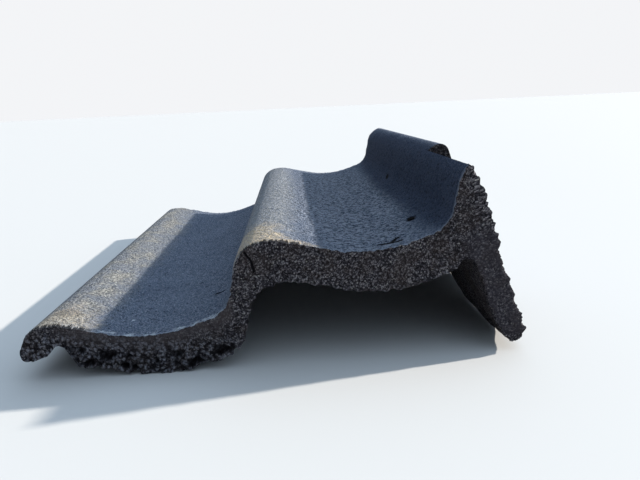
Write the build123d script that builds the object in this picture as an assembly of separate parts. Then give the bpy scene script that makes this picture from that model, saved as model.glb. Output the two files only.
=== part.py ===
from build123d import *
from math import acos, asin, atan2, cos, degrees, hypot, radians, sin, sqrt, tan
import os

# Concrete verge roof tile, one casting. Lengths are in millimetres and angles in degrees.
# The section is drawn flat: u runs across the tile, w is up from the plane it lies in.
# The tile is drawn from its head end (y = 0) to its front end, then laid over as it rests.

# Plan
tile_length = 420.0            # head end to front end
wave_pitch = 150.0             # crest to crest, half the cover width
wave_count = 2

# Wave of the top face, from one crest to the next
wave_height = 34.7             # crest above trough
trough_level = 18.8            # top of the trough, w
trough_flat = 11.4             # level floor of the trough
gentle_slope = 31.0            # long side of the roll
steep_slope = 60.0             # short side of the roll
crest_radius_gentle = 36.0
crest_radius_steep = 20.0
trough_radius_steep = 20.0
mid_crest = -54.57             # u of the middle roll's crest
wall = 12.5                    # body thickness

# Ribs across the underside, level with each other
end_depth = 29.0               # top face to rib underside
head_rib = 20.0                # along the tile
front_rib = 14.0
root_depth = 24.3              # rib depth below the trough where it meets the flap

# Cover fold along the left edge
fold_reach = 14.4              # outer face beyond the first crest
fold_radius = 18.0             # outer shoulder
fold_turn = 75.0               # slope at the foot of the shoulder
fold_depth = 19.2              # first crest down to the lip's underside
fold_lip = 16.5                # outer lip width
groove_width = 13.0            # water groove in the fold
groove_depth = 15.2            # first crest down to the groove's top
groove_bevel = 3.5
drip_width = 10.5              # drip rib inside the groove
drip_depth = 36.0              # first crest down to the drip rib's underside
drip_draft = 5.0               # its outer side slants in by this

# Flap down the right edge
flap_overhang = 7.6            # outer face beyond the last crest
flap_wall = 16.5
flap_depth = 131.5             # crest to bottom edge
flap_taper_height = 26.0       # the inside thins below this height
flap_taper = 4.5
flap_inner_edge = 3.5          # rounding of the bottom edge
flap_outer_edge = 5.0
root_radius = 6.0              # fillet inside the lap
deep_root_radius = 2.8         # fillet under the roll

# Lap at the head: the flap steps in so that the next tile's flap goes over it
lap_length = 106.0
lap_step = 13.5
lap_edge = 3.0                 # worn top edge of the step

# Fixing hole in the second trough
nail_radius = 2.6
nail_offset = 46.0             # before the last crest
nail_y = 50.0

# Broken bottom corner of the flap at the head end
chip_length = 40.0
chip_height = 5.5

crest_level = trough_level + wave_height
left_crest = mid_crest - wave_pitch
right_crest = mid_crest + wave_pitch * (wave_count - 1)

fold_face = left_crest - fold_reach
flap_face = right_crest + flap_overhang
flap_floor = crest_level - flap_depth
root_level = trough_level - root_depth


def rise(radius, angle):
    """Height gained along an arc that turns through the angle."""
    return radius * (1 - cos(radians(angle)))


def reach(radius, angle):
    """Distance covered along an arc that turns through the angle."""
    return radius * sin(radians(angle))


# Short side: its straight run closes the height. Long side: the radius of its trough closes
# both the height and the pitch
steep_drop = wave_height - rise(crest_radius_steep + trough_radius_steep, steep_slope)
steep_line = steep_drop / sin(radians(steep_slope))
steep_run = reach(crest_radius_steep + trough_radius_steep, steep_slope)
steep_run += steep_line * cos(radians(steep_slope))
gentle_run = wave_pitch - trough_flat - steep_run
gentle_spare = gentle_run - wave_height / tan(radians(gentle_slope))
trough_radius_gentle = gentle_spare / tan(radians(gentle_slope / 2)) - crest_radius_gentle
gentle_drop = wave_height - rise(crest_radius_gentle + trough_radius_gentle, gentle_slope)
gentle_line = gentle_drop / sin(radians(gentle_slope))

# The shoulder of the fold leaves the first crest where the two arcs share a tangent
fold_lead = degrees(asin((fold_radius - fold_reach) / (crest_radius_gentle - fold_radius)))


class Trace:
    """Joined lines and tangent arcs, drawn from a point along a heading."""

    def __init__(self, point, heading):
        self.point = Vector(*point)
        self.heading = heading
        self.edges = []

    def tangent(self):
        return (cos(radians(self.heading)), sin(radians(self.heading)))

    def line(self, length):
        along = self.tangent()
        end = self.point + Vector(along[0] * length, along[1] * length)
        self.edges.append(Line(self.point, end))
        self.point = end

    def arc(self, radius, turn):
        piece = JernArc(self.point, self.tangent(), radius, turn)
        self.edges.append(piece)
        self.point = piece @ 1
        self.heading += turn


def crest_point(depth, shift=0.0):
    """Start of the wave on the first crest, inset by depth and lowered by shift."""
    radius = crest_radius_gentle - depth
    return (
        left_crest + reach(radius, fold_lead),
        crest_level - depth - shift - rise(radius, fold_lead),
    )


def wave(depth, shift=0.0):
    """Wave from the first crest to the last one, inset by depth and lowered by shift."""
    path = Trace(crest_point(depth, shift), -fold_lead)
    lead = fold_lead
    for _ in range(wave_count):
        path.arc(crest_radius_gentle - depth, -(gentle_slope - lead))
        path.line(gentle_line)
        path.arc(trough_radius_gentle + depth, gentle_slope)
        path.line(trough_flat)
        path.arc(trough_radius_steep + depth, steep_slope)
        path.line(steep_line)
        path.arc(crest_radius_steep - depth, -steep_slope)
        lead = 0.0
    return path


def band(depth, shift):
    """Face between the top wave and a lower one."""
    top = wave(0.0)
    low = wave(depth, shift)
    ends = [Line(crest_point(0.0), crest_point(depth, shift)), Line(top.point, low.point)]
    return make_face(Curve() + top.edges + low.edges + ends)


def block(u_from, u_to, w_from, w_to):
    """Upright rectangle in the section."""
    centre = Pos((u_from + u_to) / 2, (w_from + w_to) / 2)
    return centre * Rectangle(u_to - u_from, w_to - w_from)


def prism(face, y_from, y_to):
    """Section carried along the tile."""
    return extrude(Plane.XZ.offset(-y_from) * face, amount=-(y_to - y_from))


def fold_section():
    """Cover fold: rounded shoulder, outer lip, water groove and drip rib."""
    lip_floor = crest_level - fold_depth
    groove_top = crest_level - groove_depth
    drip_floor = crest_level - drip_depth
    lip_end = fold_face + fold_lip
    drip = lip_end + groove_width
    inside = drip + drip_width
    path = Trace(crest_point(0.0), 180.0 - fold_lead)
    path.arc(fold_radius, fold_lead + fold_turn)
    corner = (path.point.Y - lip_floor) / (1 + cos(radians(fold_turn)))
    path.arc(corner, 180.0 - fold_turn)
    rest = Polyline(
        path.point,
        (lip_end, lip_floor),
        (lip_end + 2 * groove_bevel, groove_top),
        (drip - groove_bevel, groove_top),
        (drip, groove_top - groove_bevel),
        (drip + drip_draft / 2, drip_floor + drip_draft / 2),
        (drip + drip_draft, drip_floor),
        (inside, drip_floor - drip_draft / 2),
        (inside, crest_level - fold_radius),
        crest_point(0.0),
    )
    return make_face(Curve() + path.edges + [rest]), inside


def flap_section(inner, outer, top):
    """Flap down to a thinned, rounded bottom edge, closed along the given top points or edges."""
    taper_level = flap_floor + flap_taper_height
    outline = [
        Line((inner, top[0]), (inner, taper_level)),
        Line((inner, taper_level), (inner + flap_taper, flap_floor)),
        Line((inner + flap_taper, flap_floor), (outer, flap_floor)),
        Line((outer, flap_floor), (outer, top[1])),
    ]
    face = make_face(Curve() + outline + top[2])
    face = rounded(face, outer, flap_floor, flap_outer_edge)
    return rounded(face, inner + flap_taper, flap_floor, flap_inner_edge)


def rounded(face, u, w, radius):
    """Fillets the corner nearest to a point."""
    corner = min(face.vertices(), key=lambda v: (v.X - u) ** 2 + (v.Y - w) ** 2)
    return fillet(corner, radius)


# Underside of the body on the steep side of the last roll: an arc, then a straight slope
bend = trough_radius_steep + wall
bend_start = right_crest - steep_run
bend_end = bend_start + reach(bend, steep_slope)


def under_wave(u):
    """Level of the body's underside on the steep side of the last roll."""
    floor = trough_level - wall
    if u <= bend_end:
        return floor + bend - sqrt(bend**2 - (u - bend_start) ** 2)
    return floor + rise(bend, steep_slope) + (u - bend_end) * tan(radians(steep_slope))


# Section pieces
body_face = band(wall, 0.0)
rib_face = band(0.0, end_depth)
fold_face, fold_inside = fold_section()

main_inner = flap_face - flap_wall
lap_face = flap_face - lap_step
lap_inner = lap_face - flap_wall

cap_radius = flap_face - right_crest
cap_level = crest_level - cap_radius
mid_wall = crest_level - wall / 2
main_join = under_wave(main_inner) + wall / 2
lap_join = under_wave(lap_inner) + wall / 2
lap_top = mid_wall - 2.0

main_flap = flap_section(
    main_inner,
    flap_face,
    (
        main_join,
        cap_level,
        [
            JernArc((flap_face, cap_level), (0, 1), cap_radius, 90),
            Polyline((right_crest, crest_level), (right_crest, mid_wall), (main_inner, main_join)),
        ],
    ),
)
lap_flap = flap_section(
    lap_inner,
    lap_face,
    (lap_join, lap_top, [Line((lap_face, lap_top), (lap_inner, lap_join))]),
)

# Ribs stop short of the water groove and run into the flap
rib_face &= block(fold_inside - 1.0, lap_inner + 5.0, flap_floor, crest_level)


# The root's level floor runs from the rib's rising underside to the flap
rib_foot = trough_level - end_depth
root_turn = degrees(acos(1 - (root_level - rib_foot) / trough_radius_steep))
root_start = bend_start + reach(trough_radius_steep, root_turn) / 2
root_floor = lap_inner - bend_start - reach(trough_radius_steep, root_turn)


def root(u_to):
    """Filling between a rib and the flap's inner face."""
    return make_face(
        Polyline(
            (root_start, root_level),
            (u_to, root_level),
            (u_to, under_wave(u_to) + wall / 2),
            (root_start, under_wave(root_start) + wall / 2),
            close=True,
        )
    )


# Fillets are limited by the straight faces that they run out on
root_fillet = min(root_radius, 0.75 * root_floor)
deep_run = (main_inner - bend_end) / cos(radians(steep_slope))
deep_fillet = min(deep_root_radius, 0.9 * deep_run * tan(radians((90 - steep_slope) / 2)))

shell = body_face + fold_face
head_section = shell + rib_face + root(lap_inner + 1.0) + lap_flap
head_section = rounded(head_section, lap_inner, root_level, root_fillet)
lap_section = rounded(shell + lap_flap, lap_inner, under_wave(lap_inner), root_radius)
main_section = rounded(shell + main_flap, main_inner, under_wave(main_inner), deep_fillet)
front_section = shell + rib_face + root(main_inner + 1.0) + main_flap

# Body, from the head end to the front end
tile = prism(head_section, 0.0, head_rib)
tile += prism(lap_section, head_rib, lap_length)
tile += prism(main_section, lap_length, tile_length - front_rib)
tile += prism(front_section, tile_length - front_rib, tile_length)

# Inside of the step: the lap's flap runs on and is cut back on a slant
ramp = prism(lap_flap, lap_length - 1.0, lap_length + lap_step + 2.0)
slant = Plane.XY.offset(flap_floor - 5.0) * make_face(
    Polyline(
        (lap_inner, lap_length),
        (lap_inner + lap_step + 4.0, lap_length + lap_step + 4.0),
        (lap_inner - 5.0, lap_length + lap_step + 4.0),
        (lap_inner - 5.0, lap_length),
        close=True,
    )
)
tile += ramp - extrude(slant, amount=crest_level - flap_floor)

# Step on the outside, with its worn top edge
lap_cut = make_face(
    Polyline(
        (lap_face, flap_floor - 5.0),
        (lap_face, crest_level - 1.5 * lap_edge),
        (lap_face - 4.0 * lap_edge, crest_level + 2.5 * lap_edge),
        (flap_face + 10.0, crest_level + 2.5 * lap_edge),
        (flap_face + 10.0, flap_floor - 5.0),
        close=True,
    )
)
tile -= prism(lap_cut, -5.0, lap_length)

# Broken bottom corner of the flap
chip = Plane.YZ.offset(lap_inner - 5.0) * make_face(
    Polyline(
        (-5.0, flap_floor - 5.0),
        (-5.0, flap_floor + chip_height),
        (0.0, flap_floor + chip_height),
        (0.4 * chip_length, flap_floor + 0.7 * chip_height),
        (chip_length, flap_floor),
        (chip_length, flap_floor - 5.0),
        close=True,
    )
)
tile -= extrude(chip, amount=flap_wall + 10.0)

# Fixing hole
nail_foot = (right_crest - nail_offset, nail_y, trough_level - 2 * wall)
hole_axis = Plane(origin=nail_foot, z_dir=(0, 0, 1))
tile -= extrude(hole_axis * Circle(nail_radius), amount=3 * wall)

# Laid over to rest: the floor touches the ribs at the first trough and the flap's inner
# bottom edge, two rounds whose common tangent it is
toe_angle = 90 + degrees(atan2(flap_taper, flap_taper_height))
toe_u = lap_inner + flap_taper + flap_inner_edge / tan(radians(toe_angle / 2))
toe_w = flap_floor + flap_inner_edge
rib_u = left_crest + reach(crest_radius_gentle + trough_radius_gentle, gentle_slope)
rib_u += gentle_line * cos(radians(gentle_slope))
rib_w = trough_level - end_depth + trough_radius_gentle
across = toe_u - rib_u
down = toe_w - rib_w
floor_angle = degrees(
    atan2(down, across) - asin((flap_inner_edge - trough_radius_gentle) / hypot(across, down))
)
tile = Rot(0, floor_angle, 0) * tile
box = tile.bounding_box()
middle = box.center()
tile = Pos(-middle.X, -middle.Y, -box.min.Z) * tile
print(f"tilt {-floor_angle:.3f}, moved by {-middle.X:.4f}, {-middle.Y:.4f}, {-box.min.Z:.4f}")

os.makedirs("parts", exist_ok=True)
export_step(tile, "parts/verge_tile.step")
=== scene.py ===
"""Looks of a concrete double-wave verge roof tile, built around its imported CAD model.

Lengths of the tile's section are in millimetres, flat coordinates: u runs across the tile,
w is up from the plane that it lies in, y runs from the head end. Everything that reaches
Blender is in metres, in the row's frame.
"""

import logging
import math
from dataclasses import dataclass, field
from enum import Enum
from functools import reduce

import bpy
import numpy as np
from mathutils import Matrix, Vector

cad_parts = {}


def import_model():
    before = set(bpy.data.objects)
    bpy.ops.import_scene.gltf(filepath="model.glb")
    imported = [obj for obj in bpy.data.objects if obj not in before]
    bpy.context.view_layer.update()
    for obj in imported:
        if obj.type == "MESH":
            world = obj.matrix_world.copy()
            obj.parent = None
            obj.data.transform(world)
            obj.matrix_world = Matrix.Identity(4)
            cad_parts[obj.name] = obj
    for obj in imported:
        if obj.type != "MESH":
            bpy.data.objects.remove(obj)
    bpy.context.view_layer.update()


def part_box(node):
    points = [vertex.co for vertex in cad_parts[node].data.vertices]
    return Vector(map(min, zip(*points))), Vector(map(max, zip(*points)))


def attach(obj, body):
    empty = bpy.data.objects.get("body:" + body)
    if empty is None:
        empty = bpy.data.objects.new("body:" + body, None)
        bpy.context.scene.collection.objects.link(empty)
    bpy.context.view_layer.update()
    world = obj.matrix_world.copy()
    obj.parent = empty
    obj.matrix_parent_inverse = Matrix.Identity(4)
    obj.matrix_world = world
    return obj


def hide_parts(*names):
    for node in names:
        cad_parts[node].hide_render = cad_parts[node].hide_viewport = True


MM = 0.001
NODE = "verge_tile"
BODY = "root"

Point = tuple[float, float]
Triple = tuple[float, float, float]
Colour = tuple[float, float, float, float]
Socket = bpy.types.NodeSocket
Feed = Socket | float | tuple
Groups = dict[str, bpy.types.NodeTree]

log = logging.getLogger("verge tile")


class Kind(Enum):
    """Stretches of the tile that have a section of their own."""

    HEAD = "head rib"
    LAP = "lap"
    MAIN = "main length"
    FRONT = "front rib"

    @property
    def lapped(self) -> bool:
        """Whether the flap stands in here."""
        return self in (Kind.HEAD, Kind.LAP)

    @property
    def ribbed(self) -> bool:
        """Whether a rib runs under the tile here."""
        return self in (Kind.HEAD, Kind.FRONT)


class Face(Enum):
    """Material slots of the tile's mesh."""

    COATED = 0
    RAW = 1


# Shapes of the section


class Trace:
    """Joined lines and tangent arcs, sampled finely from a point along a heading."""

    step = 0.2

    def __init__(self, u: float, w: float, heading: float = 0.0) -> None:
        """Starts the path.

        Args:
            u: Start across the tile.
            w: Start height.
            heading: Direction in degrees, 0 along +u.
        """
        self.pieces = [np.array([[u, w]])]
        self.heading = heading

    @property
    def end(self) -> np.ndarray:
        """Last point so far."""
        return self.pieces[-1][-1]

    @property
    def points(self) -> np.ndarray:
        """All points, one row each."""
        return np.vstack(self.pieces)

    def line(self, length: float) -> "Trace":
        """Adds a straight run along the heading: start + t * direction.

        Args:
            length: Length of the run.

        Returns:
            The path itself.
        """
        angle = math.radians(self.heading)
        run = np.linspace(0.0, length, max(2, int(length / self.step)) + 1)[1:, None]
        self.pieces.append(self.end + run * (math.cos(angle), math.sin(angle)))
        return self

    def to(self, *stops: Point) -> "Trace":
        """Adds straight runs from point to point: start + t * (end - start).

        Args:
            *stops: Points that the runs end at.

        Returns:
            The path itself.
        """
        for stop in stops:
            gap = np.array(stop) - self.end
            count = max(2, int(np.hypot(*gap) / self.step))
            self.pieces.append(self.end + np.linspace(0.0, 1.0, count + 1)[1:, None] * gap)
        return self

    def follow(self, points: np.ndarray) -> "Trace":
        """Adds a stretch of another path."""
        self.pieces.append(points)
        return self

    def arc(self, radius: float, turn: float) -> "Trace":
        """Adds an arc tangent to the heading.

        A point is start + s * r * (sin h - sin h0, cos h0 - cos h), where the heading h runs
        from h0 to h0 + turn and s is the turn's sign.

        Args:
            radius: Radius of the arc.
            turn: Angle turned in degrees, positive to the left.

        Returns:
            The path itself.
        """
        count = max(3, int(abs(math.radians(turn)) * radius / self.step))
        first = math.radians(self.heading)
        head = first + np.linspace(0.0, math.radians(turn), count + 1)[1:]
        side = math.copysign(radius, turn)
        shift = np.stack([np.sin(head) - math.sin(first), math.cos(first) - np.cos(head)], 1)
        self.pieces.append(self.end + side * shift)
        self.heading += turn
        return self


def resample(points: np.ndarray, count: int) -> np.ndarray:
    """Even points along a polyline, by linear interpolation over its arc length.

    Args:
        points: Polyline, one point a row.
        count: Points wanted, both ends included.

    Returns:
        The new points.
    """
    gaps = np.hypot(*np.diff(points, axis=0).T)
    length = np.concatenate([[0.0], np.cumsum(gaps)])
    want = np.linspace(0.0, length[-1], count)
    return np.stack([np.interp(want, length, points[:, k]) for k in (0, 1)], 1)


def cut(points: np.ndarray, marks: list[Point], counts: tuple[int, ...]) -> np.ndarray:
    """Samples a polyline evenly between marks, so that matching paths match point by point.

    Args:
        points: Dense polyline.
        marks: Places on it that divide it, nearest point taken.
        counts: Spans of samples in each division, one more than there are marks.

    Returns:
        Sum of counts plus one points.
    """
    places = [0] + [int(np.hypot(*(points - m).T).argmin()) for m in marks] + [len(points) - 1]
    pieces = []
    for first, last, count in zip(places[:-1], places[1:], counts):
        pieces.append(resample(points[first : max(last, first + 1) + 1], count + 1)[:-1])
    return np.vstack(pieces + [points[-1:]])


def rise(radius: float, angle: float) -> float:
    """Height gained along an arc: r * (1 - cos a)."""
    return radius * (1 - math.cos(math.radians(angle)))


def reach(radius: float, angle: float) -> float:
    """Distance covered along an arc: r * sin a."""
    return radius * math.sin(math.radians(angle))


@dataclass(frozen=True)
class Section:
    """The tile's cross-sections, with the same sizes as the CAD solid."""

    pitch: float = 150.0
    waves: int = 2
    height: float = 34.7
    trough_level: float = 18.8
    trough_flat: float = 11.4
    gentle: float = 31.0
    steep: float = 60.0
    crest_gentle: float = 36.0
    crest_steep: float = 20.0
    trough_steep: float = 20.0
    mid_crest: float = -54.57
    wall: float = 12.5
    end_depth: float = 29.0
    root_depth: float = 24.3
    fold_reach: float = 14.4
    fold_radius: float = 18.0
    fold_turn: float = 75.0
    fold_depth: float = 19.2
    fold_lip: float = 16.5
    groove: float = 13.0
    groove_depth: float = 15.2
    bevel: float = 3.5
    drip: float = 10.5
    drip_depth: float = 36.0
    drip_draft: float = 5.0
    overhang: float = 7.6
    flap_wall: float = 16.5
    flap_depth: float = 131.5
    taper_height: float = 26.0
    taper: float = 4.5
    outer_edge: float = 5.0
    root_radius: float = 5.85
    deep_radius: float = 2.8
    front_radius: float = 1.0
    lap_step: float = 13.5
    lap_edge: float = 3.0

    # Inner edge of the flap's foot, as steps from its tapered face and heights over its bottom
    foot_edge: tuple[Point, ...] = ((-0.6, 3.5), (1.0, 0.8), (3.1, 0.0))
    # A fillet drawn as a straight cut: its reach and drop as shares of its radius
    fillet: Point = (0.8, 0.6)
    # Where the lap's slant leaves the wave, and the gap kept from such a joint
    lap_split: Point = (86.97, 51.6)
    seam: float = 0.05

    # Marks that divide both sides of a section, and the spans of samples between them
    fold_marks: tuple[Point, ...] = (
        (-208.0, 51.3),
        (-197.0, 52.8),
        (-190.0, 50.4),
        (-184.5, 47.3),
        (-181.0, 45.3),
    )
    corner_mark: float = 24.7
    rise_mark: Point = (69.5, 30.0)
    flap_mark: float = -12.0
    flap_drop: float = 14.0
    corner_gap: float = 0.6
    under_marks: tuple[int, int] = (-20, -4)
    spans: tuple[int, ...] = (16, 12, 22, 8, 4, 300, 4, 26, 14, 52, 72, 10)

    @property
    def size(self) -> int:
        """Points on a side."""
        return sum(self.spans) + 1

    @property
    def crest(self) -> float:
        """Level of the crests."""
        return self.trough_level + self.height

    @property
    def left(self) -> float:
        """First crest's place across the tile."""
        return self.mid_crest - self.pitch

    @property
    def right(self) -> float:
        """Last crest's place across the tile."""
        return self.mid_crest + self.pitch * (self.waves - 1)

    @property
    def floor(self) -> float:
        """Level of the flap's bottom edge."""
        return self.crest - self.flap_depth

    @property
    def root_level(self) -> float:
        """Level of the ribs' underside beside the flap."""
        return self.trough_level - self.root_depth

    @property
    def lead(self) -> float:
        """Angle before the first crest's top at which the shoulder's arc takes over."""
        gap = self.crest_gentle - self.fold_radius
        return math.degrees(math.asin((self.fold_radius - self.fold_reach) / gap))

    def runs(self) -> tuple[float, float, float, float]:
        """Straight runs and trough radius that close the wave's height and pitch.

        Returns:
            Gentle run, steep run, the gentle trough's radius and the steep side's width.
        """
        both = self.crest_steep + self.trough_steep
        steep = (self.height - rise(both, self.steep)) / math.sin(math.radians(self.steep))
        width = reach(both, self.steep) + steep * math.cos(math.radians(self.steep))
        spare = self.pitch - self.trough_flat - width
        spare -= self.height / math.tan(math.radians(self.gentle))
        total = spare / math.tan(math.radians(self.gentle / 2))
        gentle = (self.height - rise(total, self.gentle)) / reach(1.0, self.gentle)
        return gentle, steep, total - self.crest_gentle, width

    def crest_point(self, depth: float, shift: float) -> Point:
        """Start of the wave on the first crest.

        Args:
            depth: Distance below the top face, square to it.
            shift: Further drop, straight down.

        Returns:
            The point, as u and w.
        """
        radius = self.crest_gentle - depth
        drop = depth + shift + rise(radius, self.lead)
        return self.left + reach(radius, self.lead), self.crest - drop

    def wave(self, depth: float = 0.0, shift: float = 0.0) -> np.ndarray:
        """Both waves as lines and tangent arcs, inset by depth and lowered by shift.

        Args:
            depth: Distance below the top face, square to it.
            shift: Further drop, straight down.

        Returns:
            Dense polyline from the first crest to the last one.
        """
        gentle, steep, trough, _ = self.runs()
        path = Trace(*self.crest_point(depth, shift), -self.lead)
        lead = self.lead
        for _ in range(self.waves):
            path.arc(self.crest_gentle - depth, lead - self.gentle).line(gentle)
            path.arc(trough + depth, self.gentle).line(self.trough_flat)
            path.arc(self.trough_steep + depth, self.steep).line(steep)
            path.arc(self.crest_steep - depth, -self.steep)
            lead = 0.0
        return path.points

    def shoulder(self) -> tuple[np.ndarray, np.ndarray]:
        """Fold's outer arc, from the crest outwards, and the lip's rounded corner.

        Returns:
            Dense polylines of the shoulder and of the corner below it.
        """
        path = Trace(*self.crest_point(0.0, 0.0), 180.0 - self.lead)
        path.arc(self.fold_radius, self.lead + self.fold_turn)
        drop = path.end[1] - (self.crest - self.fold_depth)
        corner = Trace(*path.end, 180.0 + self.fold_turn)
        corner.arc(drop / (1 + math.cos(math.radians(self.fold_turn))), 180.0 - self.fold_turn)
        return path.points, corner.points

    def root_corner(self) -> float:
        """Place across the tile where the rib's underside reaches the root's level."""
        drop = self.root_level - (self.trough_level - self.end_depth)
        turn = math.degrees(math.acos(1 - drop / self.trough_steep))
        return self.right - self.runs()[3] + reach(self.trough_steep, turn)

    def outer(self, kind: Kind) -> np.ndarray:
        """Top and outer side, from the lip's corner over the waves to the flap's bottom.

        The lap's flap stands in by the lap's step, and its crest is cut off on a slant.

        Args:
            kind: Stretch of the tile.

        Returns:
            Sampled points, as many for every kind.
        """
        wave = self.wave()
        split = wave[int(np.hypot(*(wave - self.lap_split).T).argmin())]
        face = self.right + self.overhang
        path = Trace(*split)
        if kind.lapped:
            face -= self.lap_step
            path.to((face, self.crest - 1.5 * self.lap_edge))
        else:
            path.follow(wave[wave[:, 0] > split[0] + self.seam]).arc(self.overhang, -90.0)
        knee = tuple(path.end)
        path.to((face, self.floor + self.outer_edge))
        path.heading = -90.0
        foot = tuple(path.end)
        path.arc(self.outer_edge, -90.0)
        head = wave[wave[:, 0] <= split[0]]
        body = np.vstack([self.shoulder()[0][::-1], head[1:], path.points[1:]])
        marks = [*self.fold_marks, (self.root_corner(), self.corner_mark), self.rise_mark]
        marks += [tuple(split), knee, (face, self.flap_mark), foot]
        return cut(body, marks, self.spans)

    def inner(self, kind: Kind) -> np.ndarray:
        """Underside, from the lip's floor over groove and drip rib to the flap's bottom.

        Args:
            kind: Stretch of the tile.

        Returns:
            Sampled points that match the outer side's.
        """
        lip_floor = self.crest - self.fold_depth
        groove_top = self.crest - self.groove_depth
        drip_floor = self.crest - self.drip_depth
        lip_end = self.left - self.fold_reach + self.fold_lip
        drip = lip_end + self.groove
        inside = drip + self.drip
        half = self.drip_draft / 2
        face = self.right + self.overhang - self.flap_wall
        if kind.lapped:
            face -= self.lap_step
        path = Trace(*self.shoulder()[1][-1])
        path.to((lip_end, lip_floor), (lip_end + 2 * self.bevel, groove_top))
        path.to((drip - self.bevel, groove_top), (drip, groove_top - self.bevel))
        path.to((drip + half, drip_floor + half), (drip + self.drip_draft, drip_floor))
        path.to((inside, drip_floor - half))
        under = self.wave(0.0, self.end_depth) if kind.ribbed else self.wave(self.wall, 0.0)
        under = under[under[:, 0] > inside + self.seam]
        corner = self.root_corner()
        if kind.ribbed:
            radius = self.root_radius if kind is Kind.HEAD else self.front_radius
            under = under[under[:, 0] < corner]
            edge = (corner - self.corner_gap, under[-1][1])
            fillet = (face - radius, self.root_level)
            path.follow(under).to((corner, self.root_level), fillet).arc(radius, -90.0)
        else:
            radius = self.root_radius if kind.lapped else self.deep_radius
            under = under[under[:, 0] < face - self.fillet[0] * radius]
            edge, fillet = (tuple(under[place]) for place in self.under_marks)
            path.follow(under).to((face, under[-1][1] - self.fillet[1] * radius))
        knee = path.end
        path.to((face, self.floor + self.taper_height))
        edges = [(face + self.taper + step, self.floor + up) for step, up in self.foot_edge]
        path.to(*edges)
        middle = tuple((np.array(fillet) + knee) / 2)
        marks = [(lip_end, lip_floor), (drip - self.bevel, groove_top)]
        marks += [(drip + self.drip_draft, drip_floor), (inside, drip_floor - half)]
        marks += [tuple(under[0]), edge, fillet, middle, tuple(knee)]
        marks += [(face, self.root_level - self.flap_drop), edges[0]]
        return cut(path.points, marks, self.spans)


# Noise on arrays of points


class Grain:
    """Seeded noise on arrays of points."""

    def __init__(self, seed: int) -> None:
        """Draws the lattice's random values.

        Args:
            seed: Seed of the draws.
        """
        self.size = 48
        draw = np.random.default_rng(seed)
        self.values = draw.random((self.size,) * 3)
        self.offsets = draw.random((self.size,) * 3 + (3,))

    def smooth(self, points: np.ndarray, cell: float) -> np.ndarray:
        """Value noise: lattice values blended with 3t^2 - 2t^3 along each axis.

        Args:
            points: Positions, the last axis holding their coordinates.
            cell: Size of a lattice cell.

        Returns:
            Values from 0 to 1.
        """
        at = points / cell
        base = np.floor(at).astype(int)
        t = at - base
        t = t * t * (3 - 2 * t)
        total = np.zeros(points.shape[:-1])
        for corner in np.ndindex(2, 2, 2):
            place = (base + corner) % self.size
            weight = np.prod(np.where(corner, t, 1 - t), axis=-1)
            total += weight * self.values[tuple(np.moveaxis(place, -1, 0))]
        return total

    def stones(self, points: np.ndarray, cell: float) -> np.ndarray:
        """Cell noise: the distance to the nearest of one jittered point in each lattice cell.

        Args:
            points: Positions, the last axis holding their coordinates.
            cell: Size of a lattice cell.

        Returns:
            Distance over the cell's size.
        """
        at = points / cell
        base = np.floor(at).astype(int)
        near = np.full(points.shape[:-1], np.inf)
        for corner in np.ndindex(3, 3, 3):
            place = base + corner - 1
            offset = self.offsets[tuple(np.moveaxis(place % self.size, -1, 0))]
            near = np.minimum(near, np.sqrt(((place + offset - at) ** 2).sum(axis=-1)))
        return near


def share(value: np.ndarray, start: float, width: float) -> np.ndarray:
    """Linear ramp from 0 at the start to 1 a width further on."""
    return np.clip((value - start) / width, 0.0, 1.0)


# Nodes and node groups


@dataclass(frozen=True)
class Band:
    """Limits that a value is ramped between, and the strength of the result."""

    low: float
    high: float
    strength: float = 1.0


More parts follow.
